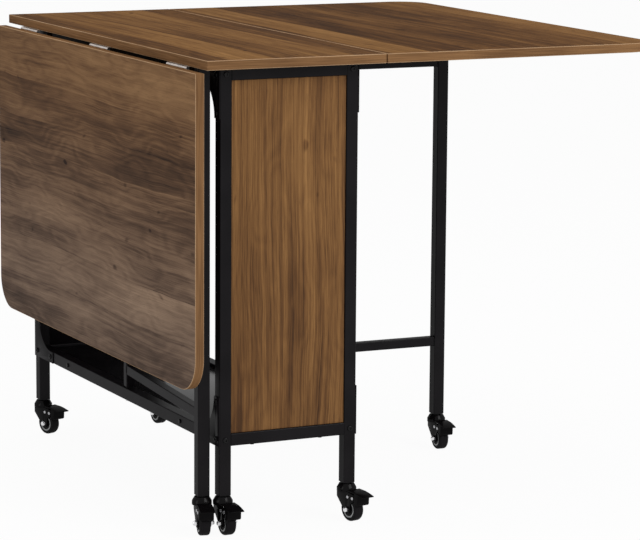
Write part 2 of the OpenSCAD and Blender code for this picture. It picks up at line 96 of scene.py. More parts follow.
class Value:
    """The output of a shader node; arithmetic on it adds Math nodes."""

    def __init__(self, network, socket):
        self.network, self.socket = network, socket

    def math(self, operation, *others):
        sockets = dict(enumerate((self, *others)))
        return self.network.add("ShaderNodeMath", {"operation": operation}, sockets)

    def __add__(self, other):
        return self.math("ADD", other)

    def __sub__(self, other):
        return self.math("SUBTRACT", other)

    def __mul__(self, other):
        return self.math("MULTIPLY", other)

    def __truediv__(self, other):
        return self.math("DIVIDE", other)

    def __rsub__(self, other):
        return (self * -1) + other

    __radd__, __rmul__ = __add__, __mul__

    def clamp(self, low=0.0, high=1.0):
        return self.math("MAXIMUM", low).math("MINIMUM", high)

    def ramp(self, start, end):
        """0 below start, 1 above end, and a smooth rise between them."""
        settings = {"interpolation_type": "SMOOTHSTEP"}
        sockets = {"Value": self, "From Min": start, "From Max": end}
        return self.network.add("ShaderNodeMapRange", settings, sockets)


class Network:
    """A tree of shader nodes, of a material or of the world."""

    def __init__(self, tree):
        self.tree = tree

    def feed(self, socket, value):
        if isinstance(value, Value):
            self.tree.links.new(value.socket, socket)
        else:
            socket.default_value = value

    def add(self, kind, settings=None, sockets=None, out=0):
        """Adds one node: its settings first, then its sockets, by name or number."""
        node = self.tree.nodes.new(kind)
        for key, value in (settings or {}).items():
            if key == "stops":
                elements = node.color_ramp.elements
                for i, (at, colour) in enumerate(value):
                    element = elements[i] if i < 2 else elements.new(at)
                    element.position, element.color = at, (*colour, 1)
            else:
                setattr(node, key, value)
        for key, value in (sockets or {}).items():
            self.feed(node.inputs[key], value)
        return Value(self, node.outputs[out])

    def seen(self):
        """1 for rays that may see the plain backdrop, and 0 for those that light."""
        rays = [self.add("ShaderNodeLightPath", out=name) for name in SEEING_RAYS]
        return rays[0].math("MAXIMUM", rays[1]).math("MAXIMUM", rays[2])


class Finish(Network):
    """A material being made, with its shader and the nodes that feed it."""

    def __init__(self, name, **shader):
        self.material = bpy.data.materials.new(name)
        self.material.use_nodes = True
        super().__init__(self.material.node_tree)
        self.shader = self.tree.nodes["Principled BSDF"]
        for socket, value in shader.items():
            self.feed(self.shader.inputs[socket.replace("_", " ")], value)

    def place(self):
        """The x, y and z of the point in the model, in metres."""
        point = self.object_point()
        kind = "ShaderNodeSeparateXYZ"
        return [self.add(kind, {}, {0: point}, out=i) for i in range(3)]

    def object_point(self):
        return self.add("ShaderNodeTexCoord", out="Object")

    def vector(self, x, y, z):
        return self.add("ShaderNodeCombineXYZ", {}, {0: x, 1: y, 2: z})

    def noise(self, vector, scale=1.0, detail=3.0, roughness=0.5):
        sockets = {"Vector": vector, "Scale": scale}
        sockets.update({"Detail": detail, "Roughness": roughness})
        return self.add("ShaderNodeTexNoise", {}, sockets)

    def colours(self, value, *stops):
        return self.add("ShaderNodeValToRGB", {"stops": stops}, {"Fac": value})

    def mix(self, factor, a, b, blend="MIX"):
        """A mix of two colours; its sockets 0, 6 and 7 are the factor and both."""
        a, b = (value if isinstance(value, Value) else (*value, 1) for value in (a, b))
        settings = {"data_type": "RGBA", "blend_type": blend}
        return self.add("ShaderNodeMix", settings, {0: factor, 6: a, 7: b}, out=2)

    def bump(self, height, depth, strength=1.0):
        """Raises the surface by height times depth, in metres."""
        sockets = {"Height": height, "Distance": depth, "Strength": strength}
        self.feed(self.shader.inputs["Normal"], self.add("ShaderNodeBump", {}, sockets))


# %% [markdown]
# The boards are chipboard under a printed melamine film. The print shows
# walnut planks laid side by side: each plank has its own tone, with long dark
# streaks, wavy growth rings and short pores. Real wood could be a photograph,
# but a procedural print follows any board and stays sharp. The plank number
# picks a random tone, and noise stretched along the grain draws the streaks.
# Each kind of mark has its own length and width, and all of them add up to one
# level, from 0 for dark wood to 1 for light, which a colour ramp then paints.

# %% Colours and sizes of the walnut print
WALNUT_DARK = (0.036, 0.021, 0.015)
WALNUT_MID = (0.112, 0.054, 0.024)
WALNUT_WARM = (0.192, 0.095, 0.037)
WALNUT_LIGHT = (0.305, 0.160, 0.060)
WALNUT_STOPS = (
    (0.05, WALNUT_DARK), (0.38, WALNUT_MID), (0.62, WALNUT_WARM), (0.98, WALNUT_LIGHT),
)
FILM = {"Specular_IOR_Level": 0.0, "Coat_Weight": 0.03, "Coat_Roughness": 0.35}
PLANK_WIDE, PLANK_WIDER = 0.071, 0.118

# The length along the grain and the width across it of each mark, in metres
WAVE, WOBBLE = (0.60, 0.20), (0.10, 0.05)
CLOUD, BEND = (0.30, 0.075), (0.26, 0.075)
STRIPE, STREAK, LINE = (0.70, 0.018), (0.42, 0.0055), (0.30, 0.0021)
FIBRE, PORE, KNOT = (0.045, 0.0011), (0.020, 0.0008), (0.045, 0.024)

# How much each mark adds to the level, or takes from it
MIDDLE_LEVEL, PLANK_TONE, SEAM_TONE, KNOT_TONE = 0.52, 0.62, 0.07, 0.35
STRIPE_TONE, STREAK_TONE, LINE_TONE, FIBRE_TONE = 0.55, 0.55, 0.55, 0.40
RING_TONE, RING_TURNS, RING_BEND = 0.06, 300.0, 60.0

# The saturation under the most painted sheen, and what it gains away from it
SHEEN_SATURATION, SATURATION_OUT_OF_SHEEN = 0.62, 0.28
print("marks", round(PORE[1] / MM, 1), "to", round(PLANK_WIDER / MM), "mm wide")


# %% Walnut print
def walnut(
    name, along, across, shift=(0.0, 0.0), light=1.0, sheen_span=None,
    planks=1.0, cloudy=0.60, fine=1.0,
):
    """The print with its grain along one axis (0, 1, 2 are x, y, z). A painted sheen,
    the grey of reflected light, greys the print most at sheen_span[0] and least at
    sheen_span[1], places across its grain. light multiplies the colour, a painted
    brightness for how the lamps fall on each board. cloudy is the strength of the
    wide figure, and fine that of the streaks and fibres."""
    finish = Finish(name, **FILM)
    axes = finish.place()
    s, t = axes[along] + shift[0], axes[across] + shift[1]

    def grain(size, seed, detail=3.0, roughness=0.6):
        """Noise from -0.5 to 0.5 in marks of this length and width."""
        point = finish.vector(s / size[0] + seed, t / size[1], seed)
        return finish.noise(point, 1.0, detail, roughness) - 0.5

    def random_tone(number):
        settings = {"noise_dimensions": "1D"}
        return finish.add("ShaderNodeTexWhiteNoise", settings, {"W": number})

    t = t + grain(WAVE, 0.0, 1.0) * 0.030 + grain(WOBBLE, 2.0, 1.0) * 0.006
    row, wide_row = t / PLANK_WIDE, t / PLANK_WIDER
    number = row.math("FLOOR")
    tone = random_tone(number)
    wide_tone = random_tone(wide_row.math("FLOOR") + 0.5)
    seam = (row - number - 0.5).math("ABSOLUTE").ramp(0.46, 0.5)
    drift = tone * 7.0 + wide_tone * 5.0
    cloud = grain(CLOUD, drift, 2.0)
    stripes = grain(STRIPE, drift, 3.0, 0.55)
    streaks = grain(STREAK, drift, 3.0, 0.60)
    lines = grain(LINE, drift, 2.0)
    fibres = grain(FIBRE, 3.0, 2.0)
    bend = grain(BEND, drift + 7.0, 2.0)
    rings = (t * RING_TURNS + bend * RING_BEND).math("SINE")
    knot_point = finish.vector(s / KNOT[0], t / KNOT[1], 9.0)
    knots = finish.noise(knot_point, 1.0, 1.0).ramp(0.71, 0.82)
    pores = (grain(PORE, 1.0, 2.0) + 0.5).ramp(0.58, 0.70)

    level = stripes * STRIPE_TONE + cloud * cloudy + rings * (RING_TONE * cloudy)
    level = level + streaks * (STREAK_TONE * fine) + lines * (LINE_TONE * fine)
    level = level + fibres * (FIBRE_TONE * fine) - seam * (SEAM_TONE * planks)
    level = level + (tone * 0.6 + wide_tone * 0.4 - 0.5) * (PLANK_TONE * planks)
    level = (level + MIDDLE_LEVEL - knots * KNOT_TONE).clamp()
    colour = finish.colours(level, *WALNUT_STOPS)
    colour = finish.mix(pores * 0.35, colour, WALNUT_DARK)
    # Painted sheen: greyer towards the bottom of the leaf, standing in for reflected
    # light
    if sheen_span:
        saturation = axes[across].ramp(*sheen_span) * SATURATION_OUT_OF_SHEEN + SHEEN_SATURATION
        sheen_inputs = {"Saturation": saturation, "Color": colour}
        colour = finish.add("ShaderNodeHueSaturation", {}, sheen_inputs)
    # Painted light: each board's print is made brighter or darker for how the lamps
    # fall on it
    if light != 1.0:
        colour = finish.mix(1.0, colour, (light, light, light), "MULTIPLY")
    finish.feed(finish.shader.inputs["Base Color"], colour)
    finish.feed(finish.shader.inputs["Roughness"], 0.55 + fibres * 0.16)
    finish.bump(fibres - pores * 0.5, 0.00012, 0.5)
    return finish.material


# %% [markdown]
# A thin plastic band covers the sawn edges. It is a lighter orange brown than
# the film, with a plain fine streak that runs round the board. The streak has
# to lie along each edge, so its fine steps go across the board's thin axis.
# Where the band was trimmed flush, its rounded corner is painted paler still: a
# painted highlight that draws a thin line round the board and along the seam
# between two boards.

# %% Edge band
BAND_LIGHT = (0.285, 0.150, 0.066)
BAND_DARK = (0.145, 0.074, 0.034)
# Paler band colours of a painted highlight on the rounded corner of the band
EDGE_HIGHLIGHT_LIGHT = (0.52, 0.35, 0.21)
EDGE_HIGHLIGHT_DARK = (0.36, 0.22, 0.12)
STEPS_ACROSS, STEPS_ALONG = 520.0, 12.0


def edge_band(name, thin, dark=BAND_DARK, light=BAND_LIGHT):
    """A band whose streaks are stacked along the board's thin axis."""
    finish = Finish(name, **FILM)
    axes = finish.place()
    steps = [STEPS_ACROSS if i == thin else STEPS_ALONG for i in range(3)]
    fine = [axis * step for axis, step in zip(axes, steps)]
    streak = finish.noise(finish.vector(*fine), 1.0, 3.0)
    cloud = finish.noise(finish.vector(*[axis * 6.0 for axis in axes]), 1.0, 2.0)
    level = (streak * 0.6 + cloud * 0.4).ramp(0.30, 0.70)
    finish.feed(finish.shader.inputs["Base Color"], finish.mix(level, dark, light))
    finish.feed(finish.shader.inputs["Roughness"], 0.38 + cloud * 0.12)
    finish.bump(streak, 0.00006, 0.4)
    return finish.material


# %% [markdown]
# The steel frame is powder coated. Powder melts into a satin skin with a fine
# orange peel, so a small noise bump breaks up the highlights, and a wide, faint
# cloud varies the gloss as handling does. Lacquer, moulded plastic and plated
# steel are made in the same way, with a finer or coarser skin.

# %% Coated, plated and moulded finishes
def speckled(
    name, colour, roughness, peel_size, peel_depth, metallic=0.0, cloud=0.06, **more
):
    """A plain colour with a fine texture of its own and an uneven gloss."""
    finish = Finish(name, Metallic=metallic, **more)
    point = finish.object_point()
    peel = finish.noise(point, 1 / peel_size, 2.0)
    wide = finish.noise(point, 14.0, 3.0)
    lighter = tuple(min(1.0, part * 1.22 + 0.002) for part in colour)
    darker = tuple(part * 0.82 for part in colour)
    mottle = (wide * 0.7 + peel * 0.3).ramp(0.3, 0.7)
    finish.feed(finish.shader.inputs["Base Color"], finish.mix(mottle, darker, lighter))
    finish.feed(finish.shader.inputs["Roughness"], roughness + (wide - 0.5) * cloud * 2)
    finish.bump(peel, peel_depth, 0.6)
    return finish.material


def brushed(name, colour, roughness):
    """Plated sheet steel with fine lines along y."""
    finish = Finish(name, Metallic=1.0)
    x, y, z = finish.place()
    lines = finish.noise(finish.vector(x * 2600.0, y * 30.0, z * 2600.0), 1.0, 3.0)
    stain = finish.noise(finish.vector(x * 60.0, y * 60.0, z * 60.0), 1.0, 2.0)
    dull = tuple(part * 0.80 for part in colour)
    base = finish.mix(stain.ramp(0.35, 0.7), dull, colour)
    finish.feed(finish.shader.inputs["Base Color"], base)
    finish.feed(finish.shader.inputs["Roughness"], roughness + (lines - 0.5) * 0.18)
    finish.bump(lines, 0.00002, 0.5)
    return finish.material


def coat(weight, roughness):
    """A thin clear skin takes the place of the plain specular layer, which would
    turn a black face grey where it is seen at a low angle."""
    skin = {"Coat_Weight": weight, "Coat_Roughness": roughness}
    return {"Specular_IOR_Level": 0.0, **skin}


def laminate(name, film, dusty):
    """The black film of the shelf: nearly smooth, with a faint leather grain."""
    finish = Finish(name, **coat(0.40, 0.14))
    point = finish.object_point()
    sockets = {"Vector": point, "Scale": 900.0}
    cells = finish.add("ShaderNodeTexVoronoi", {}, sockets)
    wide = finish.noise(point, 7.0, 3.0)
    dust = finish.noise(point, 60.0, 4.0, 0.7).ramp(0.55, 0.9)
    base = finish.mix(dust * 0.3, film, dusty)
    finish.feed(finish.shader.inputs["Base Color"], base)
    finish.feed(finish.shader.inputs["Roughness"], 0.24 + wide * 0.14)
    finish.bump(cells, 0.00005, 0.4)
    return finish.material


# %% [markdown]
# The blacks differ little in colour and much in gloss: dull nylon and tread,
# satin frame, and casters that shine. Each row below gives a colour, how rough
# it is, and how wide and deep its skin's bumps are.

# %% The finishes of this table
FRAME_BLACK = speckled(
    "frame_powder_coat", (0.0058, 0.0048, 0.0058), 0.42, 0.0009, 0.00005,
    **coat(0.19, 0.28),
)
BOLT_BLACK = speckled(
    "bolt_black_oxide", (0.005, 0.0045, 0.005), 0.30, 0.0012, 0.00002,
    **coat(0.30, 0.25),
)
CASTER_BLACK = speckled(
    "caster_black_lacquer", (0.0026, 0.0020, 0.0024), 0.22, 0.0016, 0.00003,
    **coat(0.15, 0.10),
)
PEDAL_BLACK = speckled(
    "pedal_plastic", (0.0028, 0.0022, 0.0026), 0.34, 0.0006, 0.00003,
    **coat(0.09, 0.20),
)
NYLON_BLACK = speckled(
    "black_nylon", (0.006, 0.006, 0.006), 0.48, 0.0005, 0.00003, **coat(0.12, 0.40)
)
TYRE_BLACK = speckled(
    "wheel_tread", (0.0075, 0.0066, 0.0075), 0.50, 0.0007, 0.00004, cloud=0.10,
    **coat(0.12, 0.35),
)
RING_GREY = speckled("wheel_side_ring", (0.29, 0.30, 0.30), 0.38, 0.0008, 0.00002)
DULL_ZINC = speckled(
    "dull_rivet_zinc", (0.34, 0.34, 0.35), 0.34, 0.0010, 0.00001, metallic=1.0
)
ZINC = speckled(
    "bright_zinc", (0.66, 0.66, 0.67), 0.22, 0.0010, 0.00001, metallic=1.0
)
HINGE_STEEL = brushed("hinge_steel", (0.50, 0.45, 0.42), 0.30)
SHELF_BLACK = laminate("shelf_laminate", (0.006, 0.005, 0.006), (0.030, 0.028, 0.032))
BANDS = [edge_band("walnut_edge_band_" + axis, i) for i, axis in enumerate("xyz")]
# The painted highlight on the rounded corner of a walnut band
PAINTED_EDGE_HIGHLIGHT = edge_band("walnut_trimmed_edge", 2, EDGE_HIGHLIGHT_DARK, EDGE_HIGHLIGHT_LIGHT)
# The fifth value of each walnut is its painted brightness; the leaf's span places its
# painted sheen
TOP_WALNUT = walnut("walnut_top", 1, 0, (0.0, 1.42), 0.98, planks=0.85)
LEAF_WALNUT = walnut(
    "walnut_hanging_leaf", 1, 2, (0.31, 1.467), 1.06, (0.25, 0.74),
    planks=0.85, cloudy=0.85, fine=0.75,
)
PANEL_WALNUT = walnut(
    "walnut_end_panel", 2, 0, (0.12, 0.751), 1.10, planks=0.5, fine=1.35
)

# %% Every CAD node gets its finish
FINISH_OF_SLOT = {
    "walnut_board": TOP_WALNUT,
    "black_board": SHELF_BLACK,
    "frame_black": FRAME_BLACK,
    "bolt_black": BOLT_BLACK,
    "hinge_steel": HINGE_STEEL,
    "zinc_steel": ZINC,
    "black_nylon": NYLON_BLACK,
    "caster_black": CASTER_BLACK,
    "caster_tyre": TYRE_BLACK,
    "pedal_black": PEDAL_BLACK,
}
for node, piece in frame["nodes"].items():
    piece.data.materials.clear()
    piece.data.materials.append(FINISH_OF_SLOT[slot_of_node[node]])
print(len(frame["nodes"]), "CAD nodes have their finish")


# %% [markdown]
# New pieces are made as by hand: a primitive is added at its size, shaped in
# edit mode, and finished with modifiers. These helpers do the steps that every
# piece needs: clear the selection, pick faces or edges by place, apply a
# modifier, and hand the piece to its body in place of its plain node.

# %% Helpers for modelling
def clear_selection():
    if bpy.context.object and bpy.context.object.mode != "OBJECT":
        bpy.ops.object.mode_set(mode="OBJECT")
    bpy.ops.object.select_all(action="DESELECT")


def newest():
    """The piece that an operator has just added, with its place put in its mesh."""
    piece = bpy.context.object
    bpy.ops.object.transform_apply(location=True, rotation=True, scale=True)
    return piece


SELECT_MODE = {"faces": "FACE", "edges": "EDGE", "verts": "VERT"}


def pick(piece, kind, test):
    """Enters edit mode with just the faces, edges or vertices that pass the test."""
    bpy.context.view_layer.objects.active = piece
    bpy.ops.object.mode_set(mode="EDIT")
    bpy.ops.mesh.select_mode(type=SELECT_MODE[kind])
    bpy.ops.mesh.select_all(action="DESELECT")
    mesh = bmesh.from_edit_mesh(piece.data)
    for element in getattr(mesh, kind):
        if test(element):
            element.select_set(True)
    mesh.select_flush_mode()
    bmesh.update_edit_mesh(piece.data)


def leave_edit():
    bpy.ops.object.mode_set(mode="OBJECT")


def add_rod(radius, depth, sides, place, turn=(0, 0, 0)):
    """A closed round or many-sided rod, centred on its place."""
    clear_selection()
    bpy.ops.mesh.primitive_cylinder_add(
        vertices=sides, radius=radius, depth=depth, location=place, rotation=turn
    )
    return newest()


def bevel_edges(piece, width, segments, test):
    """Rounds the edges that pass the test."""
    pick(piece, "edges", test)
    bpy.ops.mesh.bevel(offset=width, segments=segments, affect="EDGES")
    leave_edit()


def set_finish(piece, *finishes):
    """Gives a piece these finishes, in the order of its faces' numbers."""
    piece.data.materials.clear()
    for finish in finishes:
        piece.data.materials.append(finish)


def use_modifier(piece, kind, **settings):
    bpy.context.view_layer.objects.active = piece
    modifier = piece.modifiers.new(kind.lower(), kind)
    for key, value in settings.items():
        setattr(modifier, key, value)
    bpy.ops.object.modifier_apply(modifier=modifier.name)


def round_edges(piece, width, segments=2, angle=35):
    use_modifier(
        piece, "BEVEL", width=width, segments=segments, limit_method="ANGLE",
        angle_limit=math.radians(angle), use_clamp_overlap=True,
    )


def smooth(piece, angle=35):
    """Shades round faces smoothly, and keeps edges that are sharper than the angle."""
    clear_selection()
    piece.select_set(True)
    bpy.context.view_layer.objects.active = piece
    bpy.ops.object.shade_smooth_by_angle(angle=math.radians(angle))
    piece.select_set(False)


def hand_over(piece, name, host, replaced=None):
    """Names a finished piece and lets it ride on the body of its host node. It
    replaces a node or none: the replaced node is hidden."""
    piece.name = piece.data.name = name
    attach(piece, body_of_node[host])
    if replaced:
        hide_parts(replaced)
    return piece


def join(pieces):
    """One piece of several; the first one keeps its name."""
    clear_selection()
    for piece in pieces:
        piece.select_set(True)
    bpy.context.view_layer.objects.active = pieces[0]
    if len(pieces) > 1:
        bpy.ops.object.join()
    return pieces[0]


def copy_to(piece, matrix):
    """A copy with its own mesh, moved by the matrix."""
    twin = piece.copy()
    twin.data = piece.data.copy()
    bpy.context.scene.collection.objects.link(twin)
    twin.data.transform(matrix)
    return twin


# %% [markdown]
# A melamine board is a slab with a hair of rounding where the edge band was
# trimmed. That rounding catches the light, and where the band is walnut it is
# also painted paler: a painted highlight that draws the thin pale line along
# each edge. The slab is a cube at the node's size. The two outer corners of a
# leaf are bevelled to their large radius first, and then all the edges get their
# small one. The big faces keep the print, the rounding of a walnut band takes
# the painted highlight, and all the others are band.

# %% Boards
EDGE_EASE = 0.9 * MM
CORNER_RADIUS = 56 * MM
CORNER_STEPS = 18
FILM_REACH = 0.6
# Rounding faces with normals between these take the painted highlight
HIGHLIGHT_LOW, HIGHLIGHT_HIGH = 0.15, 0.99
X, Y, Z = 0, 1, 2


def board(node, thin, film, band=None, outer=None, back=None):
    """thin is the board's thin axis, and outer the (axis, sign) of its rounded side.
    band is the film of the edges where it isn't walnut, and back is (film, sign)
    for a board with another film on one side."""
    low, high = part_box(node)
    clear_selection()
    bpy.ops.mesh.primitive_cube_add(size=1, location=(low + high) / 2, scale=high - low)
    piece = newest()
    if outer:
        axis, sign = outer
        edge_at = (high if sign > 0 else low)[axis]

        def on_outer_corner(edge):
            a, b = (v.co for v in edge.verts)
            crosses_board = abs(a[thin] - b[thin]) > EDGE_EASE
            return crosses_board and abs(a[axis] - edge_at) < EDGE_EASE

        bevel_edges(piece, CORNER_RADIUS, CORNER_STEPS, on_outer_corner)
    round_edges(piece, EDGE_EASE, 3, 60)
    if band:
        set_finish(piece, film, band, *(back[:1] if back else ()))
    else:
        set_finish(piece, film, BANDS[thin], PAINTED_EDGE_HIGHLIGHT)
    for face in piece.data.polygons:
        facing = face.normal[thin]
        face.material_index = 0 if abs(facing) > FILM_REACH else 1
        # The rounding of a walnut-banded board takes the painted highlight
        if not band and HIGHLIGHT_LOW < abs(facing) < HIGHLIGHT_HIGH:
            face.material_index = 2
        if back and facing * back[1] > FILM_REACH:
            face.material_index = 2
    smooth(piece, 40)
    return hand_over(piece, node + "_board", node, node)


board("centre_top", Z, TOP_WALNUT)
board("right_leaf", Z, TOP_WALNUT, outer=(X, 1))
board("left_leaf", X, LEAF_WALNUT, outer=(Z, -1))
board("near_end_panel", Y, PANEL_WALNUT, SHELF_BLACK, back=(SHELF_BLACK, 1))
board("far_end_panel", Y, PANEL_WALNUT, SHELF_BLACK, back=(SHELF_BLACK, -1))
board("shelf", Z, SHELF_BLACK, SHELF_BLACK)


# %% [markdown]
# The pressed and moulded pieces have the right shape in the engineering model
# but knife-sharp edges. Each is copied, its loose triangles are merged into
# clean faces, and a small bevel rounds its edges.

# %% Rounded copies of pressed and moulded pieces
FLAT_ENOUGH = math.radians(1.0)
SAME_POINT = 0.001 * MM


def soften(node, width, finish, segments=2, angle=35):
    """A copy of a CAD node with clean faces and rounded edges, in its place."""
    source = frame["nodes"][node]
    piece = source.copy()
    piece.data = source.data.copy()
    for key in [key for key in piece.keys() if key.startswith("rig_")]:
        del piece[key]
    piece.parent = None
    bpy.context.scene.collection.objects.link(piece)
    clear_selection()
    piece.select_set(True)
    pick(piece, "verts", lambda v: True)
    bpy.ops.mesh.remove_doubles(threshold=SAME_POINT)
    bpy.ops.mesh.dissolve_limited(angle_limit=FLAT_ENOUGH)
    leave_edit()
    round_edges(piece, width, segments, angle)
    set_finish(piece, finish)
    smooth(piece, 40)
    return hand_over(piece, node + "_dressed", node, node)


soften("corner_plates", 0.45 * MM, FRAME_BLACK)
for caster in CASTERS:
    soften(caster + "_fork", 0.45 * MM, CASTER_BLACK)
    soften(caster + "_pedal", 0.9 * MM, PEDAL_BLACK, 3)
dressed = [o for o in bpy.data.objects if o.name.endswith("_dressed")]
print("softened", len(dressed), "pieces")


# %% [markdown]
# Each solid of a fastener node is one screw. Its box says where the screw sits
# and which way it points, so the detailed head goes there by itself. The CAD
# node with its plain shanks is hidden. The CAD node keeps its plain shanks in
# collision only.

# %% Where the screws are
def solids(node):
    """The boxes of the separate solids of a node, as (low, high) pairs."""
    mesh = bmesh.new()
    mesh.from_mesh(frame["nodes"][node].data)
    bmesh.ops.remove_doubles(mesh, verts=mesh.verts, dist=SAME_POINT)
    left, boxes = set(mesh.verts), []
    while left:
        group, todo = set(), [left.pop()]
        while todo:
            vert = todo.pop()
            group.add(vert)
            near = {edge.other_vert(vert) for edge in vert.link_edges} & left
            left -= near
            todo += near
        points = [v.co for v in group]
        low = Vector([min(p[i] for p in points) for i in range(3)])
        high = Vector([max(p[i] for p in points) for i in range(3)])
        boxes.append((low, high))
    mesh.free()
    return boxes


for node in ("frame_bolts", "end_screws"):
    print(node, len(solids(node)))


# %% [markdown]
# The frame's bolts have low round heads with a hexagon socket. One head is
# turned from a cylinder: its top rim is bevelled into a dome, and a six-sided
# plug is cut out of it. It is then copied to every bolt.

# %% Socket-head bolts
HEAD_RADIUS, HEAD_HEIGHT, HEAD_SIDES = 4.5 * MM, 2.2 * MM, 28
DOME_DEPTH = 0.68 * HEAD_HEIGHT
SOCKET_RADIUS, SOCKET_DEPTH = 2.1 * MM, 1.3 * MM
SHANK_RADIUS, SHANK_LENGTH, SHANK_SIDES = 2.0 * MM, 6 * MM, 16
SHANK_INTO_HEAD = 0.1 * MM


def cut(piece, tool):
    """Takes the tool's shape out of the piece, and removes the tool."""
    use_modifier(piece, "BOOLEAN", operation="DIFFERENCE", object=tool, solver="EXACT")
    bpy.data.objects.remove(tool)


def socket_head():
    """A bolt head that stands on z = 0 and points up, with a short shank below."""
    head = add_rod(HEAD_RADIUS, HEAD_HEIGHT, HEAD_SIDES, (0, 0, HEAD_HEIGHT / 2))
    top = HEAD_HEIGHT * 0.9
    bevel_edges(head, DOME_DEPTH, 4, lambda e: all(v.co.z > top for v in e.verts))
    cut(head, add_rod(SOCKET_RADIUS, 2 * SOCKET_DEPTH, 6, (0, 0, HEAD_HEIGHT)))
    shank_at = (0, 0, SHANK_INTO_HEAD - SHANK_LENGTH / 2)
    shank = add_rod(SHANK_RADIUS, SHANK_LENGTH, SHANK_SIDES, shank_at)
    return join([head, shank])


def point_along(direction, place):
    """A matrix that turns +z to the direction and moves the origin to the place."""
    turn = Vector((0, 0, 1)).rotation_difference(direction).to_matrix().to_4x4()
    return Matrix.Translation(place) @ turn


top_low, top_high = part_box("centre_top")
TABLE_MIDDLE = ((top_low.x + top_high.x) / 2, 0.0, 0.0)


def seat_heads(node, pattern, axis, height, finish):
    """Puts a copy of the pattern on the outer end of each solid of the node."""
    made = []
    for low, high in solids(node):
        outward = 1 if (low + high)[axis] / 2 > TABLE_MIDDLE[axis] else -1
        direction, place = Vector((0, 0, 0)), (low + high) / 2
        direction[axis] = outward
        place[axis] = (high if outward > 0 else low)[axis] - outward * height
        made.append(copy_to(pattern, point_along(direction, place)))
    piece = join(made)
    set_finish(piece, finish)
    smooth(piece, 30)
    return hand_over(piece, node + "_heads", node, node)


bolt = socket_head()
seat_heads("frame_bolts", bolt, X, HEAD_HEIGHT, BOLT_BLACK)
seat_heads("end_screws", bolt, Y, HEAD_HEIGHT, BOLT_BLACK)
print("one bolt head has", len(bolt.data.polygons), "faces")
bpy.data.objects.remove(bolt)


# %% [markdown]
# A caster wheel is moulded: a crowned tread, a pale ring pressed into each
# side, and a hub that nearly touches the fork. It starts as a cylinder at the
# wheel's size. The rims are bevelled into the crown, and each side is inset
# and pushed in and out to make the ring and the hub. It is made once in the
# caster's own frame and copied to all the wheels.

# %% Caster frame
def caster_matrix(name):
    """From the caster's own frame, in mm with its wheel at +x, into the model."""
    stem = Vector(joints[name + "_swivel"]["pos_m"])
    wheel = Vector(joints[name + "_roll"]["pos_m"])
    back = Vector((wheel.x - stem.x, wheel.y - stem.y, 0))
    turn = Matrix.Rotation(math.atan2(back.y, back.x), 4, "Z")
    place = Matrix.Translation((stem.x, stem.y, 0))
    return place @ turn @ Matrix.Scale(MM, 4)


first_stem = Vector(joints["near_left_swivel"]["pos_m"])
first_hub = Vector(joints["near_left_roll"]["pos_m"])
trail = math.hypot(first_hub.x - first_stem.x, first_hub.y - first_stem.y)
TRAIL, WHEEL_R = round(trail / MM, 3), round(first_hub.z / MM, 3)
print("wheel trail and radius in mm:", TRAIL, WHEEL_R)

# %% Caster wheel
WHEEL_WIDE, WHEEL_SIDES = 18.0, 64
CROWN = 4.2
RING_OUT, RING_IN, HUB_R = 14.6, 11.6, 7.0
HUB_HALF = 9.25
ACROSS = (math.pi / 2, 0, 0)

# Each step goes inward by the first number and outward, or in if it is negative,
# by the second: to the ring's groove, down and up its lip, over the ring, down
# its inner lip, over the dish, and out to the hub.
SIDE_STEPS = (
    (WHEEL_R - CROWN - RING_OUT, 0),
    (0.35, -1.3),
    (0.15, 0.6),
    (RING_OUT - RING_IN - 0.5, 0),
    (0.2, -1.0),
    (RING_IN - HUB_R - 0.4, 0.2),
    (0.2, HUB_HALF - WHEEL_WIDE / 2 + 1.5),
)


def caster_wheel():
    """One wheel in the caster's frame, in mm."""
    wheel = add_rod(WHEEL_R, WHEEL_WIDE, WHEEL_SIDES, (TRAIL, 0, WHEEL_R), ACROSS)
    for side in (-1, 1):
        pick(wheel, "faces", lambda f: f.normal.y * side > 0.9)
        bpy.ops.mesh.bevel(offset=CROWN, segments=5, affect="EDGES")
        for inward, outward in SIDE_STEPS:
            pick(wheel, "faces", lambda f: f.normal.y * side > 0.9 and len(f.verts) > 8)
            bpy.ops.mesh.inset(thickness=inward, depth=outward)
        leave_edit()
    print("one wheel has", len(wheel.data.polygons), "faces")
    return wheel


def from_hub(face):
    """How far a face of a wheel or a fixing lies from the wheel's axis, in mm."""
    return math.hypot(face.center.x - TRAIL, face.center.z - WHEEL_R)


def fit_to_casters(pattern, ending, replaced):
    """A copy of the pattern for each caster, in place of one of its nodes."""
    for caster in CASTERS:
        node = caster + replaced
        hand_over(copy_to(pattern, caster_matrix(caster)), node + ending, node, node)
    bpy.data.objects.remove(pattern)


wheel = caster_wheel()
set_finish(wheel, TYRE_BLACK, RING_GREY)
for face in wheel.data.polygons:
    on_ring = RING_IN < from_hub(face) < RING_OUT + 0.2 and abs(face.normal.y) > 0.8
    face.material_index = 1 if on_ring else 0
smooth(wheel, 35)
fit_to_casters(wheel, "_turned", "_wheel")

# %% [markdown]
# The fixings of a fork are bright: a cap nut on each end of the axle, and
# riveted ends of the brake pin and of the cross rivets. A cap nut is a hexagon
# with a small dome on it. A rivet end is a short cylinder with a round rim.

# %% Cap nuts and rivets
FORK_HALF = 11.5
AXLE_R, NUT_R, NUT_DEEP, NUT_RIM = 3.0, 4.6, 3.0, 0.4
DOME_R, DOME_END, DOME_RIM = 3.9, 6.0, 2.6
RIVET_R, RIVET_HEAD_R, RIVET_HEAD, RIVET_RIM = 2.0, 2.7, 1.0, 0.7
RIVET_ROOT = 2.0
BRAKE_PIN = (30.0, 40.5)
SIDE_RIVET = (18.0, 41.0)
SAME_PLACE = 0.001


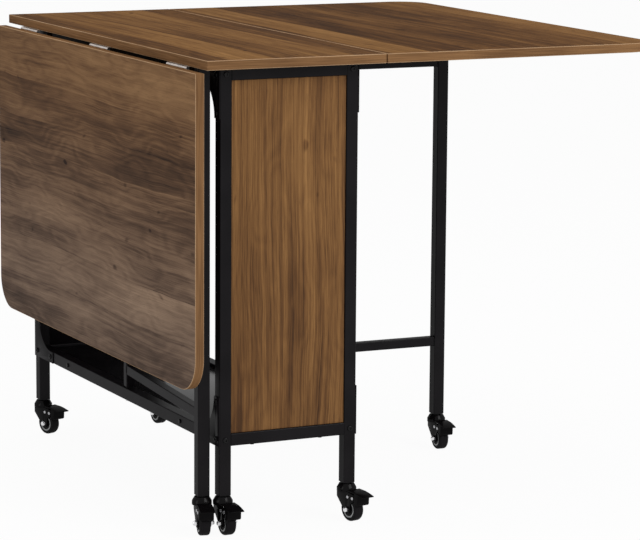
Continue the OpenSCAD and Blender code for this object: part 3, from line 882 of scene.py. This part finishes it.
def stud(x, z, y0, y1, radius, rim=0.0, sides=24):
    """A round or six-sided rod along y in the caster's frame, its outer rim rounded."""
    piece = add_rod(radius, abs(y1 - y0), sides, (x, (y0 + y1) / 2, z), ACROSS)

    def at_outer_end(edge):
        return all(abs(v.co.y - y1) < SAME_PLACE for v in edge.verts)

    if rim:
        bevel_edges(piece, rim, 3, at_outer_end)
    return piece


def fork_fixings():
    """The axle, the brake pin, and all their ends, in the caster's frame."""
    parts = [
        stud(TRAIL, WHEEL_R, -FORK_HALF, FORK_HALF, AXLE_R),
        stud(*BRAKE_PIN, -FORK_HALF, FORK_HALF, RIVET_R),
    ]
    for side in (-1, 1):
        face = side * FORK_HALF
        nut_end, dome_end = face + side * NUT_DEEP, face + side * DOME_END
        parts.append(stud(TRAIL, WHEEL_R, face, nut_end, NUT_R, NUT_RIM, 6))
        parts.append(stud(TRAIL, WHEEL_R, face, dome_end, DOME_R, DOME_RIM))
        for x, z in (BRAKE_PIN, SIDE_RIVET):
            root, end = face - side * RIVET_ROOT, face + side * RIVET_HEAD
            parts.append(stud(x, z, root, end, RIVET_HEAD_R, RIVET_RIM))
    return join(parts)


fixings = fork_fixings()
set_finish(fixings, ZINC, DULL_ZINC)
for face in fixings.data.polygons:
    face.material_index = 0 if from_hub(face) < NUT_R + 1 else 1
smooth(fixings, 30)
print("fixings of one fork:", len(fixings.data.polygons), "faces")
fit_to_casters(fixings, "_bright", "_axle")

# %% [markdown]
# The hinge plates are held by flat cross-head screws. A head is a thin disc
# with two crossed slots cut into it. Three go on each plate, on the side that
# faces away from the board.

# %% Hinge screws
SCREW_R, SCREW_PROUD, SCREW_RIM = 3.3 * MM, 0.35 * MM, 0.25 * MM
SLOT_LONG, SLOT_WIDE, SLOT_DEEP = 3.8 * MM, 0.9 * MM, 0.5 * MM
SCREW_ROWS = (-26 * MM, 0.0, 26 * MM)
HINGE_PLATE = 1.5 * MM


def cross_head():
    """A flat screw head whose top lies at z = SCREW_PROUD."""
    head = add_rod(SCREW_R, 2 * SCREW_PROUD, 24, (0, 0, 0))
    top = SCREW_PROUD * 0.9
    bevel_edges(head, SCREW_RIM, 2, lambda e: all(v.co.z > top for v in e.verts))
    for long_x, long_y in ((SLOT_LONG, SLOT_WIDE), (SLOT_WIDE, SLOT_LONG)):
        clear_selection()
        bpy.ops.mesh.primitive_cube_add(
            size=1, location=(0, 0, SCREW_PROUD), scale=(long_x, long_y, SLOT_DEEP)
        )
        cut(head, newest())
    return head


def hinge_screws(pattern, node, name, direction):
    """Three screws on each plate of the node, on the side that the direction names."""
    facing = Vector(direction)
    axis = Z if direction[Z] else X
    made = []
    for low, high in solids(node):
        back = high if facing[axis] < 0 else low
        for row in SCREW_ROWS:
            place = (low + high) / 2
            place[axis] = back[axis] + facing[axis] * HINGE_PLATE
            place.y += row
            made.append(copy_to(pattern, point_along(facing, place)))
    piece = join(made)
    set_finish(piece, ZINC)
    smooth(piece, 30)
    print(name, len(made))
    return hand_over(piece, name, node)


screw = cross_head()
FACING = {
    "top_hinge": (0, 0, -1),
    "right_leaf_hinge": (0, 0, -1),
    "left_leaf_hinge": (1, 0, 0),
}
for hinge, facing in FACING.items():
    hinge_screws(screw, hinge + "_plates", hinge + "_screws", facing)
bpy.data.objects.remove(screw)

# %% [markdown]
# The thin bars of the gates are welded to the leg and to the pivot post. A
# weld is a bead of overlapping drops. One bead is a rod that is subdivided and
# swells and shrinks along its length. Four beads go round each end of a bar.

# %% Weld beads
GATE_BAR, LEG_HALF = 16 * MM, 10 * MM
BEAD_R, BEAD_SHORT = 1.0 * MM, 2.4 * MM
BEAD_DROPS, CUTS_PER_DROP = 7, 4
THINNEST, RIPPLE, TAPER, TAPER_END = 0.82, 0.18, 12, 0.25


def weld_bead(length):
    """A rippled bead along x, centred on the origin."""
    bead = add_rod(BEAD_R, length, 8, (0, 0, 0), (0, math.pi / 2, 0))
    pick(bead, "edges", lambda e: abs(e.verts[0].co.x - e.verts[1].co.x) > length / 2)
    bpy.ops.mesh.subdivide(number_cuts=BEAD_DROPS * CUTS_PER_DROP)
    leave_edit()
    for vert in bead.data.vertices:
        along = vert.co.x / length + 0.5
        swell = THINNEST + RIPPLE * abs(math.sin(math.pi * BEAD_DROPS * along))
        taper = min(1.0, TAPER * along + TAPER_END, TAPER * (1 - along) + TAPER_END)
        vert.co.y *= swell * taper
        vert.co.z *= swell * taper
    return bead


def gate_welds(pattern, gate):
    """Four beads round each end of both bars of a gate."""
    pivot = Vector(joints[gate.replace("gate_", "") + "_gate_swing"]["pos_m"])
    stem = Vector(joints[gate + "_swivel"]["pos_m"])
    reach = Vector((stem.x - pivot.x, stem.y - pivot.y, 0))
    turn = Matrix.Rotation(math.atan2(reach.y, reach.x), 4, "Z")
    place = Matrix.Translation((pivot.x, pivot.y, 0)) @ turn
    on_bar = Matrix.Translation((0, 0, GATE_BAR / 2))
    across_bar = on_bar @ Matrix.Rotation(math.pi / 2, 4, "Z")
    made = []
    for low, high in solids(gate + "_bars"):
        for x in (GATE_BAR / 2, reach.length - LEG_HALF):
            end = Matrix.Translation((x, 0, (low.z + high.z) / 2))
            for quarter in range(4):
                spin = Matrix.Rotation(quarter * math.pi / 2, 4, "X")
                made.append(copy_to(pattern, place @ end @ spin @ across_bar))
    piece = join(made)
    set_finish(piece, FRAME_BLACK)
    smooth(piece, 60)
    print(gate, "has", len(made), "weld beads")
    return hand_over(piece, gate + "_welds", gate + "_bars")


bead = weld_bead(GATE_BAR - BEAD_SHORT)
gate_welds(bead, "gate_left")
gate_welds(bead, "gate_right")
bpy.data.objects.remove(bead)

# %% [markdown]
# The floor and the backdrop are pale and plain, so that the table stands out as
# in a catalogue. To the camera the world is white, and the floor is lifted
# towards white but keeps the table's soft shadow.

# %% Floor and world
FLOOR_SIZE, FLOOR_GLOW, AMBIENT = 60.0, 0.95, 0.42
WHITE = (1, 1, 1, 1)
clear_selection()
bpy.ops.mesh.primitive_plane_add(size=FLOOR_SIZE)
floor = newest()
floor.name = "studio_floor"
paint = Finish("studio_white", Base_Color=(0.86, 0.86, 0.86, 1), Roughness=0.9)
glow = paint.add("ShaderNodeEmission", {}, {"Color": WHITE, "Strength": 1.0})
plain = Value(paint, paint.shader.outputs[0])
lift = paint.seen() * FLOOR_GLOW
blend = paint.add("ShaderNodeMixShader", {}, {0: lift, 1: plain, 2: glow})
paint.feed(paint.tree.nodes["Material Output"].inputs["Surface"], blend)
set_finish(floor, paint.material)

world = bpy.data.worlds.new("studio")
bpy.context.scene.world = world
world.use_nodes = True
sky = Network(world.node_tree)
background = sky.tree.nodes["Background"]
sky.feed(background.inputs["Strength"], sky.seen() * (1 - AMBIENT) + AMBIENT)
sky.feed(background.inputs["Color"], WHITE)
print("floor", FLOOR_SIZE, "m wide; the world lights at", AMBIENT)


# %% [markdown]
# Three large lamps give soft studio light. The key stands to the right of the
# camera and above it, so the top and the end panel are bright and the hanging
# leaf is in shade. A weak one on the left draws the edges of the black tubes.

# %% Lamps
AIM = Vector((0.0, 0.0, 0.45))


def lamp(name, place, size, watts):
    """A square lamp, size metres wide, that points at the middle of the table."""
    light = bpy.data.lights.new(name, "AREA")
    light.shape, light.size, light.energy = "SQUARE", size, watts
    holder = bpy.data.objects.new(name, light)
    holder.location = place
    holder.rotation_euler = (AIM - Vector(place)).to_track_quat("-Z", "Y").to_euler()
    bpy.context.scene.collection.objects.link(holder)
    print(name, "lamp", round((AIM - Vector(place)).length, 2), "m away")


lamp("key", (1.6, -3.6, 2.9), 2.2, 92)
lamp("overhead", (-0.4, 0.2, 3.4), 2.6, 30)
lamp("left_fill", (-3.6, -0.8, 1.3), 1.6, 18)

# %% [markdown]
# The camera stands where the photographer stood: far away, with a long lens,
# turned to the right of the table's length and tipped down. Its place, its
# angles and its lens were fitted to edges of known size.

# %% Camera
CAMERA_AT = Vector((-2331.3, -4816.9, 1252.4)) * MM
CAMERA_YAW = math.radians(25.88)
CAMERA_DIP = math.radians(9.68)
CAMERA_ROLL = math.radians(0.42)
LENS_MM = 175.66
SENSOR_MM = 36.0
CLIP_END = 100.0
level = math.cos(CAMERA_DIP)
ahead = Vector((
    math.sin(CAMERA_YAW) * level, math.cos(CAMERA_YAW) * level, -math.sin(CAMERA_DIP),
))
level_right = Vector((math.cos(CAMERA_YAW), -math.sin(CAMERA_YAW), 0))
level_up = level_right.cross(ahead)
right = math.cos(CAMERA_ROLL) * level_right + math.sin(CAMERA_ROLL) * level_up
up = math.cos(CAMERA_ROLL) * level_up - math.sin(CAMERA_ROLL) * level_right
lens = bpy.data.cameras.new("camera")
lens.lens, lens.sensor_width = LENS_MM, SENSOR_MM
lens.clip_end = CLIP_END
camera = bpy.data.objects.new("camera", lens)
bpy.context.scene.collection.objects.link(camera)
turn = Matrix((right, up, -ahead)).transposed().to_4x4()
camera.matrix_world = Matrix.Translation(CAMERA_AT) @ turn
bpy.context.scene.camera = camera
bpy.context.scene.view_settings.view_transform = "Standard"
print("camera", round(CAMERA_AT.length, 2), "m from the table's middle")
